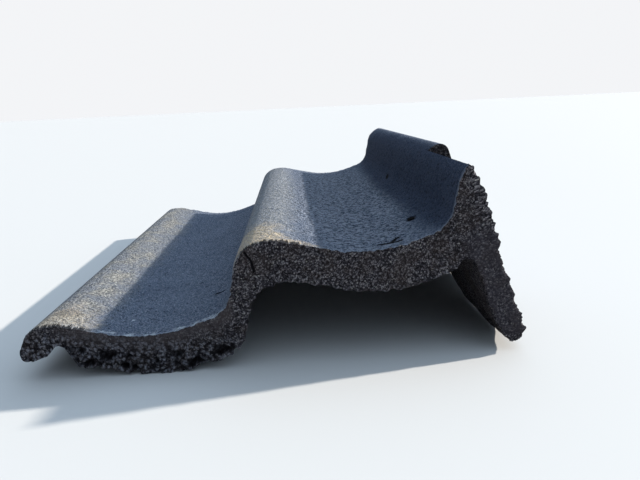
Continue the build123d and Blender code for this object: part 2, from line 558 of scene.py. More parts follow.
class Nodes:
    """Short hand for a node tree: makes nodes, sets their inputs and links them."""

    def __init__(self, tree: bpy.types.NodeTree) -> None:
        """Wraps a tree."""
        self.tree = tree

    def feed(self, node: bpy.types.Node, inputs: dict) -> None:
        """Links outputs to a node's sockets, and sets values on the others.

        Args:
            node: Node that is fed.
            inputs: Socket names or numbers with what feeds them.
        """
        for name, value in inputs.items():
            if isinstance(value, Socket):
                self.tree.links.new(value, node.inputs[name])
            else:
                node.inputs[name].default_value = value

    def add(self, kind: str, inputs: dict | None = None, **values: object) -> bpy.types.Node:
        """Adds a shader node.

        Args:
            kind: Node type, without its ShaderNode prefix.
            inputs: Socket names or numbers with the values or outputs that feed them.
            **values: Properties of the node.

        Returns:
            The node.
        """
        node = self.tree.nodes.new(f"ShaderNode{kind}")
        for name, value in values.items():
            setattr(node, name, value)
        self.feed(node, inputs or {})
        return node

    def math(self, operation: str, *values: Feed, clamp: bool = False) -> Socket:
        """Adds a Math node and returns its output."""
        node = self.add("Math", dict(enumerate(values)), operation=operation, use_clamp=clamp)
        return node.outputs[0]

    def times(self, *values: Feed) -> Socket:
        """Product of the values."""
        return reduce(lambda total, value: self.math("MULTIPLY", total, value), values)

    def most(self, *values: Feed) -> Socket:
        """Largest of the values."""
        return reduce(lambda total, value: self.math("MAXIMUM", total, value), values)

    def plus(self, value: Feed, factor: Feed, base: Feed) -> Socket:
        """The value times the factor, plus the base."""
        return self.math("MULTIPLY_ADD", value, factor, base)

    def vector(self, operation: str, *values: Feed) -> Socket:
        """Adds a Vector Math node and returns its vector."""
        node = self.add("VectorMath", dict(enumerate(values)), operation=operation)
        return node.outputs["Vector"]

    def length(self, operation: str, *values: Feed) -> Socket:
        """Adds a Vector Math node and returns its number."""
        node = self.add("VectorMath", dict(enumerate(values)), operation=operation)
        return node.outputs["Value"]

    def split(self, vector: Socket) -> list[Socket]:
        """The three parts of a vector."""
        return list(self.add("SeparateXYZ", {0: vector}).outputs)

    def ramp(
        self, value: Feed, low: Feed, high: Feed, out_low: float = 0.0, out_high: float = 1.0
    ) -> Socket:
        """Adds a smooth Map Range node and returns its output."""
        inputs = {0: value, 1: low, 2: high, 3: out_low, 4: out_high}
        return self.add("MapRange", inputs, interpolation_type="SMOOTHSTEP").outputs[0]

    def band(self, value: Socket, band: Band) -> Socket:
        """Smooth ramp over a band's limits, times its strength."""
        mask = self.ramp(value, band.low, band.high)
        return mask if band.strength == 1.0 else self.times(mask, band.strength)

    def mix(self, factor: Feed, first: Feed, second: Feed) -> Socket:
        """Adds a colour Mix node and returns its output."""
        inputs = {0: factor, 6: first, 7: second}
        return self.add("Mix", inputs, data_type="RGBA").outputs[2]

    def noise(
        self, vector: Socket, scale: Feed, detail: float = 3.0, rough: float = 0.55
    ) -> Socket:
        """Adds a Noise Texture and returns its value output."""
        inputs = {"Vector": vector, "Scale": scale, "Detail": detail, "Roughness": rough}
        return self.add("TexNoise", inputs).outputs[0]

    def cells(self, vector: Socket, scale: Feed) -> tuple[Socket, list[Socket]]:
        """Adds a Voronoi Texture.

        Args:
            vector: Coordinates.
            scale: Cells in a metre.

        Returns:
            The distance from the cell's point, and three random values a cell.
        """
        node = self.add("TexVoronoi", {"Vector": vector, "Scale": scale})
        split = self.add("SeparateColor", {0: node.outputs["Color"]})
        return node.outputs["Distance"], list(split.outputs)

    def attribute(self, name: str, output: str) -> Socket:
        """One output of a mesh attribute."""
        return self.add("Attribute", attribute_name=name).outputs[output]

    def surface(self, look: dict, height: Socket, distance: float) -> None:
        """Ends a material: a Principled shader with a bumped normal.

        Args:
            look: Inputs of the shader.
            height: Height of the bump.
            distance: Depth of the bump in metres.
        """
        bump = self.add("Bump", {"Height": height, "Distance": distance, "Strength": 1.0})
        shader = self.add("BsdfPrincipled", look | {"Normal": bump.outputs[0]})
        self.add("OutputMaterial", {"Surface": shader.outputs[0]})


class Paint:
    """A colour that others are laid over, mask after mask."""

    def __init__(self, nodes: Nodes, colour: Socket) -> None:
        """Starts with a colour."""
        self.nodes = nodes
        self.colour = colour

    def lay(self, colour: Feed, *masks: Feed) -> None:
        """Mixes a colour in where the product of the masks is high."""
        self.colour = self.nodes.mix(self.nodes.times(*masks), self.colour, colour)


def new_group(
    name: str, inputs: dict[str, float | Triple], outputs: tuple[str, ...]
) -> tuple[Nodes, bpy.types.bpy_prop_collection, bpy.types.Node]:
    """Makes an empty shader node group.

    Args:
        name: Name of the group.
        inputs: Socket names with their default value, three numbers for a vector.
        outputs: Names of the outputs, all of them numbers.

    Returns:
        The group's Nodes, its inputs by name and its output node.
    """
    group = bpy.data.node_groups.new(name, "ShaderNodeTree")
    for socket, value in inputs.items():
        kind = "NodeSocketVector" if isinstance(value, tuple) else "NodeSocketFloat"
        made = group.interface.new_socket(name=socket, in_out="INPUT", socket_type=kind)
        made.default_value = value
    for socket in outputs:
        group.interface.new_socket(name=socket, in_out="OUTPUT", socket_type="NodeSocketFloat")
    source = group.nodes.new("NodeGroupInput").outputs
    return Nodes(group), source, group.nodes.new("NodeGroupOutput")


def aggregate_group() -> bpy.types.NodeTree:
    """Sand and gravel grains: two sizes of cells, each with a tone of its own.

    Height is 0.8 of the coarse grains' crowns and 0.45 of the fine ones', Tone is a random
    value a grain, 0.55 coarse and 0.45 fine, and Joint is 1 in the gaps. Noise of
    up to 0.9 mm bends the cells, so that none is plain.

    Returns:
        The node group.
    """
    inputs = {"Vector": (0.0, 0.0, 0.0), "Coarse": 780.0, "Fine": 1750.0}
    nodes, source, sink = new_group("aggregate", inputs, ("Height", "Tone", "Joint"))
    shift = nodes.times(nodes.noise(source["Vector"], 900.0, 1.0), 0.0009)
    place = nodes.vector("ADD", source["Vector"], shift)
    coarse, coarse_tones = nodes.cells(place, source["Coarse"])
    fine, fine_tones = nodes.cells(place, source["Fine"])
    crown = nodes.times(nodes.math("SUBTRACT", 1.0, coarse, clamp=True), 0.8)
    height = nodes.plus(nodes.math("SUBTRACT", 1.0, fine, clamp=True), 0.45, crown)
    tone = nodes.plus(fine_tones[0], 0.45, nodes.times(coarse_tones[0], 0.55))
    joint = nodes.ramp(nodes.plus(fine, 0.35, coarse), 0.5, 1.0)
    nodes.feed(sink, {"Height": height, "Tone": tone, "Joint": joint})
    return nodes.tree


def stroke_group() -> bpy.types.NodeTree:
    """Mask of a short stroke: 1 within 0.45 of its half width of the segment Start to End.

    The distance is that of the point to the nearest point of the segment, found with the
    clamped projection (p - a) . (b - a) / |b - a|^2, and Rough bends the stroke's edge.

    Returns:
        The node group.
    """
    start = (0.0, 0.0, 0.0)
    inputs = {"Vector": start, "Start": start, "End": start, "Width": 0.001, "Rough": 0.0005}
    nodes, source, sink = new_group("stroke", inputs, ("Mask",))
    bend = nodes.add("TexNoise", {"Vector": source["Vector"], "Scale": 700.0}).outputs["Color"]
    bent = nodes.vector("MULTIPLY", nodes.vector("SUBTRACT", bend, (0.5,) * 3), source["Rough"])
    place = nodes.vector("ADD", source["Vector"], bent)
    arm = nodes.vector("SUBTRACT", place, source["Start"])
    side = nodes.vector("SUBTRACT", source["End"], source["Start"])
    along = nodes.length("DOT_PRODUCT", arm, side)
    part = nodes.math("DIVIDE", along, nodes.length("DOT_PRODUCT", side, side), clamp=True)
    gap = nodes.length("DISTANCE", arm, nodes.vector("MULTIPLY", side, part))
    inner = nodes.times(source["Width"], 0.45)
    nodes.feed(sink, {"Mask": nodes.ramp(gap, inner, source["Width"], 1.0, 0.0)})
    return nodes.tree


def patch_group() -> bpy.types.NodeTree:
    """Mask of a patch for wear, dust, painted light and painted shade: an ellipse on the surface's
    own map, broken up by noise.

    It is 1 up to 0.45 of its reach, and noise moves that edge by up to 2 * Break reaches.

    Returns:
        The node group.
    """
    origin = (0.0, 0.0, 0.0)
    inputs = {"Vector": origin, "Centre": origin, "Reach": (1.0, 1.0, 1.0), "Break": 0.5}
    nodes, source, sink = new_group("top patch", inputs | {"Scale": 120.0}, ("Mask",))
    arm = nodes.vector("SUBTRACT", source["Vector"], source["Centre"])
    gap = nodes.length("LENGTH", nodes.vector("DIVIDE", arm, source["Reach"]))
    rough = nodes.noise(source["Vector"], source["Scale"], 5.0, 0.65)
    ragged = nodes.times(nodes.math("SUBTRACT", rough, 0.5), source["Break"])
    gap = nodes.plus(ragged, 4.0, gap)
    nodes.feed(sink, {"Mask": nodes.ramp(gap, 0.45, 1.0, 1.0, 0.0)})
    return nodes.tree


# Finishes


def srgb(red: int, green: int, blue: int) -> Colour:
    """Linear colour of an 8-bit display colour.

    Args:
        red: Red, 0 to 255.
        green: Green, 0 to 255.
        blue: Blue, 0 to 255.

    Returns:
        Linear red, green and blue with full alpha.
    """
    raw = np.array([red, green, blue]) / 255.0
    linear = np.where(raw <= 0.04045, raw / 12.92, ((raw + 0.055) / 1.055) ** 2.4)
    return (*linear.tolist(), 1.0)


def emptied(name: str) -> tuple[bpy.types.Material, Nodes]:
    """Makes a material without nodes.

    Args:
        name: Name of the material.

    Returns:
        The material, and the short hand for its tree.
    """
    material = bpy.data.materials.new(name)
    material.use_nodes = True
    material.node_tree.nodes.clear()
    return material, Nodes(material.node_tree)


@dataclass(frozen=True)
class Mark:
    """A stroke from start to end, in millimetres on the tile's own coordinates.

    The width is half of its own, and its edge strays by a share of that.
    """

    start: Triple
    end: Triple
    width: float
    light: bool = False
    stray: float = 0.6

    def mask(self, nodes: Nodes, group: bpy.types.NodeTree, vector: Socket) -> Socket:
        """Adds the stroke's mask.

        Args:
            nodes: The material's nodes.
            group: The stroke's node group.
            vector: Coordinates that it is drawn on.

        Returns:
            The mask.
        """
        inputs = {
            "Vector": vector,
            "Start": [v * MM for v in self.start],
            "End": [v * MM for v in self.end],
            "Width": self.width * MM,
            "Rough": self.stray * self.width * MM,
        }
        return nodes.add("Group", inputs, node_tree=group).outputs["Mask"]


@dataclass(frozen=True)
class Patch:
    """A patch on the top face, for wear, dust, painted light and painted shade: middle and half
    widths, across and along, and its edge.
    """

    centre: Point
    reach: Point
    broken: float
    scale: float

    def mask(self, nodes: Nodes, group: bpy.types.NodeTree, flat: Socket) -> Socket:
        """Adds the patch's mask.

        Args:
            nodes: The material's nodes.
            group: The patch's node group.
            flat: The surface's own map.

        Returns:
            The mask.
        """
        inputs = {
            "Vector": flat,
            "Centre": (self.centre[0] * MM, self.centre[1] * MM, 0.0),
            "Reach": (self.reach[0] * MM, self.reach[1] * MM, 1.0),
            "Break": self.broken,
            "Scale": self.scale,
        }
        return nodes.add("Group", inputs, node_tree=group).outputs["Mask"]


@dataclass(frozen=True)
class RawConcrete:
    """Bare sandy concrete of the end faces, the lap, the flap's inside and the underside.

    Noises hold their scale, detail and roughness, and places are in metres.
    """

    dark: Colour = srgb(28, 27, 31)
    mid: Colour = srgb(84, 81, 88)
    light: Colour = srgb(156, 152, 156)
    # Painted glints on single bright grains.
    grain_glint: Colour = srgb(205, 202, 198)
    # Painted highlight on the tops of the loose foot's lumps.
    lump: Colour = srgb(168, 168, 180)
    warm: Colour = srgb(84, 74, 70)
    slurry: Colour = srgb(72, 67, 69)
    flap_slurry: Colour = srgb(51, 49, 55)
    # Joint: painted shade in the gaps between grains and lumps, in deep pits and on the lap's step;
    # also the crack's colour.
    joint: Colour = srgb(22, 21, 25)
    roughness: float = 0.85
    specular: float = 0.03
    bump: float = 0.0022

    cloud: tuple[float, ...] = (60.0, 4.0)
    speckle: tuple[float, ...] = (1500.0, 2.0)
    patchy: tuple[float, ...] = (260.0, 3.0)
    gritty: tuple[float, ...] = (2600.0, 2.0)
    ragged: tuple[float, ...] = (110.0, 3.0)
    bit_scale: float = 800.0
    lump_scale: float = 390.0

    crown: Band = Band(0.35, 1.05)
    mid_shade: Band = Band(0.46, 0.78)
    light_shade: Band = Band(0.76, 1.05)
    glint_bit: Band = Band(0.94, 0.97)
    bit_middle: Band = Band(0.45, 0.2)
    warm_cloud: Band = Band(0.42, 0.62, 0.42)
    lump_lit_top: Band = Band(0.6, 0.15)
    lump_shaded_gap: Band = Band(0.5, 0.85)
    skim_patch: Band = Band(0.35, 0.65)
    flap_side: Band = Band(0.0, 0.06)
    # Bands of painted shade in deep pits and on the lap's step face:
    deep_pit_shade: Band = Band(0.4, 0.95, 0.9)
    step_from: Band = Band(0.105, 0.1058)
    step_to: Band = Band(0.1072, 0.1064)
    step_up: Band = Band(0.01, 0.02)
    loose_below: Band = Band(-0.042, -0.052)
    loose_left: Band = Band(-0.082, -0.1)
    loose_near: Band = Band(0.03, 0.012)
    loose_slope: float = 0.45
    loose_ragged: float = 0.012

    crack: tuple[Point, ...] = (
        (-61.3, 50.5),
        (-60.2, 47.4),
        (-59.4, 44.3),
        (-59.7, 40.9),
        (-60.3, 36.9),
    )
    crack_width: float = 1.05
    crack_stretch: Triple = (1.0, 0.15, 1.0)

    def build(self, groups: Groups) -> bpy.types.Material:
        """Makes the material: grains of several tones with painted highlights, joints, pits and the
        lap's step darkened as painted shade, smoother slurry.

        A grain's shade is 0.75 of its tone, 0.3 of its crown, which paints a highlight on the
        grain's top, and 0.5 of fine noise.

        Args:
            groups: Shared node groups by name.

        Returns:
            The material.
        """
        material, nodes = emptied("raw_concrete")
        place = nodes.attribute("tile", "Vector")
        across, along, up = nodes.split(place)
        relief = nodes.attribute("relief", "Fac")
        slurry = nodes.attribute("slurry", "Fac")
        grain = nodes.add("Group", node_tree=groups["aggregate"])
        nodes.feed(grain, {"Vector": place})
        # The crown term paints a highlight on each grain's top; the tone is random a grain.
        crown = nodes.band(grain.outputs["Height"], self.crown)
        shade = nodes.plus(crown, 0.3, nodes.times(grain.outputs["Tone"], 0.75))
        shade = nodes.plus(nodes.noise(place, *self.speckle), 0.5, shade)
        paint = Paint(nodes, nodes.mix(nodes.band(shade, self.mid_shade), self.dark, self.mid))
        paint.lay(self.light, nodes.band(shade, self.light_shade))
        # Bright bits: painted glints on single grains.
        middle, bits = nodes.cells(place, self.bit_scale)
        glinting = nodes.band(bits[1], self.glint_bit)
        paint.lay(self.grain_glint, glinting, nodes.band(middle, self.bit_middle), 0.7)
        paint.lay(self.warm, nodes.band(nodes.noise(place, *self.cloud), self.warm_cloud))
        loose = self.loose(nodes, place)
        # Loose foot: painted highlights on the lumps' tops and painted shade in the gaps between
        # them.
        lumps = nodes.cells(place, self.lump_scale)[0]
        lit_tops = nodes.times(nodes.band(lumps, self.lump_lit_top), loose)
        paint.lay(self.lump, lit_tops, 0.75)
        paint.lay(self.joint, nodes.band(lumps, self.lump_shaded_gap), loose, 0.85)
        patchy = nodes.band(nodes.noise(place, *self.patchy), self.skim_patch)
        skim = nodes.mix(nodes.band(across, self.flap_side), self.slurry, self.flap_slurry)
        paint.lay(skim, slurry, nodes.plus(patchy, 0.25, 0.72))
        # Painted shade: the gaps between grains, deep pits and the lap's step face get the joint
        # colour.
        open_face = nodes.math("SUBTRACT", 1.0, slurry, clamp=True)
        gaps = nodes.times(grain.outputs["Joint"], 0.6, open_face)
        limits = (self.step_from, self.step_to)
        step = nodes.times(*(nodes.band(along, limit) for limit in limits))
        step = nodes.times(step, nodes.band(up, self.step_up), 0.6)
        paint.lay(self.joint, nodes.most(gaps, nodes.band(relief, self.deep_pit_shade), step))

        section = nodes.vector("MULTIPLY", place, self.crack_stretch)
        spots = [(u, 0.0, w) for u, w in self.crack]
        strokes = [Mark(*ends, self.crack_width) for ends in zip(spots[:-1], spots[1:])]
        crack = nodes.most(*(mark.mask(nodes, groups["stroke"], section) for mark in strokes))
        paint.lay(self.joint, crack)

        grit = nodes.times(nodes.noise(place, *self.gritty), 0.5)
        height = nodes.math("ADD", grain.outputs["Height"], grit)
        height = nodes.times(height, nodes.plus(slurry, -0.65, 1.0))
        height = nodes.plus(crack, -1.4, height)
        height = nodes.plus(lit_tops, 0.8, height)
        look = {"Base Color": paint.colour, "Roughness": self.roughness}
        look["Specular IOR Level"] = self.specular
        nodes.surface(look, height, self.bump)
        return material

    def loose(self, nodes: Nodes, place: Socket) -> Socket:
        """Adds the mask of the loose foot under the first trough, at the head end.

        It lies to the left of the middle roll, below a ragged line that falls across the
        tile: w + 0.45 * u goes from -0.042 to -0.052 there, in metres.

        Args:
            nodes: The material's nodes.
            place: The tile's own coordinates.

        Returns:
            The mask.
        """
        across, along, up = nodes.split(place)
        slant = nodes.plus(across, self.loose_slope, up)
        ragged = nodes.times(nodes.noise(place, *self.ragged), self.loose_ragged)
        below = nodes.band(nodes.math("SUBTRACT", slant, ragged), self.loose_below)
        left = nodes.band(across, self.loose_left)
        return nodes.times(below, left, nodes.band(along, self.loose_near))


@dataclass(frozen=True)
class CoatedTop:
    """Dark anthracite coating over fine sand on the top face, with its worn places and painted light
    and shade.

    Noises hold their scale, detail and roughness. Marks and patches are in millimetres, and
    other places in metres.
    """

    base: Colour = srgb(102, 112, 131)
    deep: Colour = srgb(86, 97, 117)
    # Pale: painted highlights on the sand and painted sheen in the second trough, and the paler head
    # edge.
    pale: Colour = srgb(156, 163, 178)
    # Painted shade on the last roll's left flank and crest.
    flank_shade: Colour = srgb(43, 53, 74)
    # Worn coating colour, made paler as painted sunlight on the left and middle rolls.
    worn: Colour = srgb(178, 176, 170)
    worn_dark: Colour = srgb(84, 84, 86)
    dust: Colour = srgb(196, 178, 152)
    bloom: Colour = srgb(206, 212, 220)
    # Pit: painted shade in the sand's hollows, the trough's ripples and the nail hole, and dark
    # specks, teeth and chips.
    pit: Colour = srgb(26, 28, 33)
    roughness: float = 0.72
    specular: float = 0.01
    bump: float = 0.0016

    sand: tuple[float, ...] = (1150.0, 3.0, 0.6)
    cloud: tuple[float, ...] = (30.0, 5.0, 0.6)
    swirl: tuple[float, ...] = (330.0, 4.0, 0.75)
    streak: tuple[float, ...] = (640.0, 4.0, 0.8)
    blotch: tuple[float, ...] = (42.0, 4.0, 0.62)
    grit: tuple[float, ...] = (800.0, 3.0, 0.75)
    flakes: tuple[float, ...] = (150.0, 5.0, 0.7)
    teeth: tuple[float, ...] = (480.0, 3.0, 0.8)
    ripple: tuple[float, ...] = (210.0, 3.0, 0.6)
    speck_scale: float = 850.0

    base_cloud: Band = Band(0.3, 0.7)
    # Painted highlights and painted shade on the sand grains:
    sand_highlight: Band = Band(0.51, 0.63, 0.85)
    sand_shade: Band = Band(0.46, 0.34, 0.62)
    # Painted sheen and painted shade of the ripples in the second trough:
    glint: Band = Band(0.46, 0.57, 0.9)
    ripple_shade: Band = Band(0.46, 0.38, 0.75)
    dots: Band = Band(0.84, 0.97, 0.65)
    worn_streak: Band = Band(0.44, 0.57)
    worn_blotch: Band = Band(0.4, 0.62)
    dust_grit: Band = Band(0.42, 0.58)
    edge: Band = Band(0.006, 0.0015)
    edge_flakes: Band = Band(0.48, 0.6)
    bloom_right: Band = Band(-0.08, -0.1)
    bloom_left: Band = Band(-0.19, -0.176)
    pale_edge: Band = Band(0.0028, 0.0, 0.5)
    tooth: Band = Band(0.0008, 0.0)
    tooth_length: float = 0.032
    tooth_shift: float = -0.0132
    left_crest: Band = Band(-0.166, -0.176)
    mid_crest_left: Band = Band(-0.07, -0.06)
    mid_crest_right: Band = Band(-0.018, -0.03)

    second_trough: Patch = Patch((14.0, 190.0), (58.0, 330.0), 0.1, 40.0)
    # Patch of painted shade over the last roll's left flank and crest.
    shaded_rise: Patch = Patch((72.0, 190.0), (32.0, 460.0), 0.1, 30.0)
    # Worn coating with painted sunlight on the left roll.
    sunlit_left_roll: Patch = Patch((-196.0, 210.0), (38.0, 460.0), 0.12, 70.0)
    smudge: Patch = Patch((-190.0, 24.0), (11.0, 10.0), 0.25, 120.0)
    # Worn coating with weaker painted sunlight on the middle roll.
    sunlit_mid_roll: Patch = Patch((-52.0, 190.0), (30.0, 460.0), 0.15, 60.0)
    roll_dust: Patch = Patch((-54.0, 10.0), (24.0, 60.0), 0.4, 60.0)
    spilt_dust: Patch = Patch((-36.0, 1.0), (26.0, 11.0), 0.35, 90.0)
    left_dust: Patch = Patch((-192.0, 6.0), (27.0, 52.0), 0.4, 70.0)
    marks: tuple[tuple, ...] = (
        ((-99.9, 50.7), (-93.3, 49.4), 1.9),
        ((19.5, 11.2), (27.6, 9.8), 2.4),
        ((30.6, 9.6), (33.6, 9.9), 2.2),
        ((28.4, 12.2), (30.2, 14.6), 2.0),
        ((31.0, 16.6), (33.4, 18.4), 1.9),
        ((63.0, 221.0), (64.6, 229.0), 2.2),
        # The nail hole's mark: painted shade in and around the hole.
        ((49.0, 50.0), (50.2, 54.5), 4.2),
        ((-153.1, 25.7), (-152.7, 26.3), 0.9, True),
        ((-148.0, 48.0), (-146.0, 49.0), 0.7),
        ((-120.0, 96.0), (-118.0, 96.5), 1.1),
    )

    def build(self, groups: Groups) -> bpy.types.Material:
        """Makes the material: sandy coating with painted highlights and shade, painted sheen and
        shade in the second trough, painted shade on the last roll's flank, worn left and middle
        rolls paler with painted sunlight, dust on the middle roll, marks.

        Args:
            groups: Shared node groups by name.

        Returns:
            The material.
        """
        material, nodes = emptied("coated_top")
        place = nodes.attribute("tile", "Vector")
        flat = nodes.vector("MULTIPLY", place, (1.0, 1.0, 0.0))
        across, along, _ = nodes.split(place)
        patches = (self.second_trough, self.shaded_rise, self.sunlit_left_roll, self.smudge)
        patches += (self.sunlit_mid_roll, self.roll_dust, self.spilt_dust, self.left_dust)
        masks = [patch.mask(nodes, groups["top patch"], flat) for patch in patches]
        # The roll and ridge masks carry wear and painted sunlight; the rise mask carries painted
        # shade.
        trough, rise_shade, roll, smudge, sunlit_ridge, *dusts = masks
        sand = nodes.noise(place, *self.sand)
        swirl = nodes.noise(place, *self.swirl)
        cloud = nodes.band(nodes.noise(place, *self.cloud), self.base_cloud)
        paint = Paint(nodes, nodes.mix(cloud, self.deep, self.base))
        # Painted highlights and painted shade on the sand.
        paint.lay(self.pale, nodes.band(sand, self.sand_highlight))
        paint.lay(self.pit, nodes.band(sand, self.sand_shade))
        # Painted sheen and painted shade on the second trough's ripples.
        paint.lay(self.pale, nodes.band(swirl, self.glint), trough)
        paint.lay(self.pit, nodes.band(swirl, self.ripple_shade), trough)
        # Painted shade on the last roll's flank.
        paint.lay(self.flank_shade, rise_shade, 0.8)
        paint.lay(self.pit, nodes.band(nodes.cells(place, self.speck_scale)[1][0], self.dots))

        # Worn coating, paler as painted sunlight, on the left roll and more weakly on the middle
        # roll.
        streak = nodes.band(nodes.noise(place, *self.streak), self.worn_streak)
        blotch = nodes.band(nodes.noise(place, *self.blotch), self.worn_blotch)
        tone = nodes.mix(streak, self.worn_dark, self.worn)
        paint.lay(tone, roll, nodes.plus(blotch, 0.5, 0.42))
        paint.lay(self.worn_dark, smudge, 0.5)
        paint.lay(self.worn, sunlit_ridge, nodes.plus(streak, 0.5, 0.1))
        dust = nodes.most(dusts[0], dusts[1], nodes.times(dusts[2], 0.38))
        grit = nodes.band(nodes.noise(place, *self.grit), self.dust_grit)
        paint.lay(self.dust, dust, nodes.plus(grit, 0.8, 0.15))
        self.ends(nodes, paint, place)

        cuts = []
        for start, end, *rest in self.marks:
            mark = Mark((*start, 0.0), (*end, 0.0), *rest)
            mask = mark.mask(nodes, groups["stroke"], flat)
            paint.lay(self.bloom if mark.light else self.pit, mask)
            if not mark.light:
                cuts.append(mask)

        height = nodes.times(nodes.noise(place, *self.ripple), nodes.plus(trough, 4.5, 2.5))
        height = nodes.plus(sand, 0.8, height)
        height = nodes.plus(nodes.most(*cuts), -2.0, height)
        look = {"Base Color": paint.colour, "Roughness": self.roughness}
        look["Specular IOR Level"] = self.specular
        nodes.surface(look, height, self.bump)
        return material

    def ends(self, nodes: Nodes, paint: Paint, place: Socket) -> None:
        """Lays lime bloom, a paler line along the edge and broken teeth of the coat along the head
        end.

        Args:
            nodes: The material's nodes.
            paint: The colour so far.
            place: The tile's own coordinates.
        """
        across, along, _ = nodes.split(place)
        flat = nodes.vector("MULTIPLY", place, (1.0, 1.0, 0.0))
        flakes = nodes.band(nodes.noise(flat, *self.flakes), self.edge_flakes)
        sides = [nodes.band(across, side) for side in (self.bloom_right, self.bloom_left)]
        paint.lay(self.bloom, nodes.band(along, self.edge), flakes, *sides, 0.85)
        paint.lay(self.pale, nodes.band(along, self.pale_edge))
        line = nodes.vector("MULTIPLY", place, (1.0, 0.0, 0.0))
        depth = nodes.plus(nodes.noise(line, *self.teeth), self.tooth_length, self.tooth_shift)
        tooth = nodes.band(nodes.math("SUBTRACT", along, depth), self.tooth)
        middle = [nodes.band(across, side) for side in (self.mid_crest_left, self.mid_crest_right)]
        crests = nodes.most(nodes.band(across, self.left_crest), nodes.times(*middle))
        paint.lay(self.pit, tooth, crests, 0.9)


# The tile's mesh


def shown(name: str, data: bpy.types.ID) -> bpy.types.Object:
    """Makes an object of some data and links it to the scene.

    Args:
        name: Name of the object.
        data: Its mesh, camera or light.

    Returns:
        The object.
    """
    made = bpy.data.objects.new(name, data)
    bpy.context.scene.collection.objects.link(made)
    return made


def new_mesh(name: str, points: np.ndarray, faces: list) -> bpy.types.Mesh:
    """Makes a mesh of points and faces.

    Args:
        name: Name of the mesh.
        points: Positions in metres, one a row.
        faces: Corner numbers of each face.

    Returns:
        The mesh.
    """
    mesh = bpy.data.meshes.new(name)
    mesh.from_pydata(points.tolist(), [], faces)
    return mesh


def fetch(data: bpy.types.bpy_prop_collection, key: str, width: int) -> np.ndarray:
    """Reads one property of all items.

    Args:
        data: Items to read.
        key: Name of the property.
        width: Numbers in one value.

    Returns:
        The values, one a row.
    """
    values = np.empty(len(data) * width)
    data.foreach_get(key, values)
    return values.reshape(-1, width)


def store(mesh: bpy.types.Mesh, name: str, values: np.ndarray) -> None:
    """Writes a point attribute: a vector for rows of three values, else a number.

    Args:
        mesh: Mesh that is changed.
        name: Name of the attribute.
        values: One a point.
    """
    kind, key = ("FLOAT_VECTOR", "vector") if values.ndim == 2 else ("FLOAT", "value")
    layer = mesh.attributes.get(name) or mesh.attributes.new(name, kind, "POINT")
    layer.data.foreach_set(key, values.astype(np.float32).ravel())


@dataclass(frozen=True)
class Wear:
    """Sizes, places and reaches of the casting's wear, in millimetres on flat coordinates.

    Pairs hold a start and a width for share(), apart from foot, which holds both ends of a
    stretch, and swell, which holds heights and how far the flap's rim stands out there.
    """

    seed: int = 7
    stone: float = 2.6
    fine: float = 1.5
    rough: float = 2.4
    face_rough: float = 3.2
    lump: float = 8.0
    broad: float = 9.0
    hole: float = 5.0
    holes: Point = (0.55, 0.2)
    face_holes: Point = (0.56, 0.2)
    shifts: tuple[float, ...] = (0.0, 31.0, 57.0, 91.0)
    lump_shift: float = 13.0

    edge_reach: float = 4.0
    edge_power: float = 1.5
    rim_reach: float = 9.0
    head_reach: float = 14.0
    flap_u: float = 84.0
    flap_w: float = 47.0
    flap_facing: float = 0.2
    toe_u: float = 70.0
    toe_height: float = 12.0
    foot: Point = (-186.0, -78.0)
    lip_u: float = -183.0
    lip_w: float = 42.0
    lip_tip: float = -213.0
    rest_band: float = 1.5
    rest_least: float = 0.05
    swell: tuple[Point, ...] = (
        (-76.0, 0.4),
        (-66.0, 1.5),
        (-54.0, 1.9),
        (-42.0, 1.0),
        (-22.0, 0.9),
        (-13.0, -0.6),
        (-9.0, -0.6),
        (-3.0, 1.4),
        (16.0, 2.5),
        (35.0, 2.6),
        (45.0, 1.3),
        (49.0, 0.0),
    )

    foot_down: Point = (11.0, 10.0)
    foot_left: Point = (78.0, 20.0)
    skim_down: Point = (-14.0, 10.0)
    skim_right: Point = (66.0, 6.0)
    skim_foot: Point = (7.0, 6.0)
    band_down: Point = (3.0, 13.0)
    band_right: Point = (-196.0, 12.0)
    band_left: Point = (78.0, 6.0)
    blend_columns: float = 2.5
    blend_rows: float = 3.0


@dataclass
class Casting:
    """Parts of the mesh, in lists to be joined: points, faces, slots and what wears them."""

    base: list[np.ndarray]
    worn: list[np.ndarray]
    faces: list[np.ndarray]
    slots: list[np.ndarray]
    back: list[np.ndarray]
    slurry: list[np.ndarray]


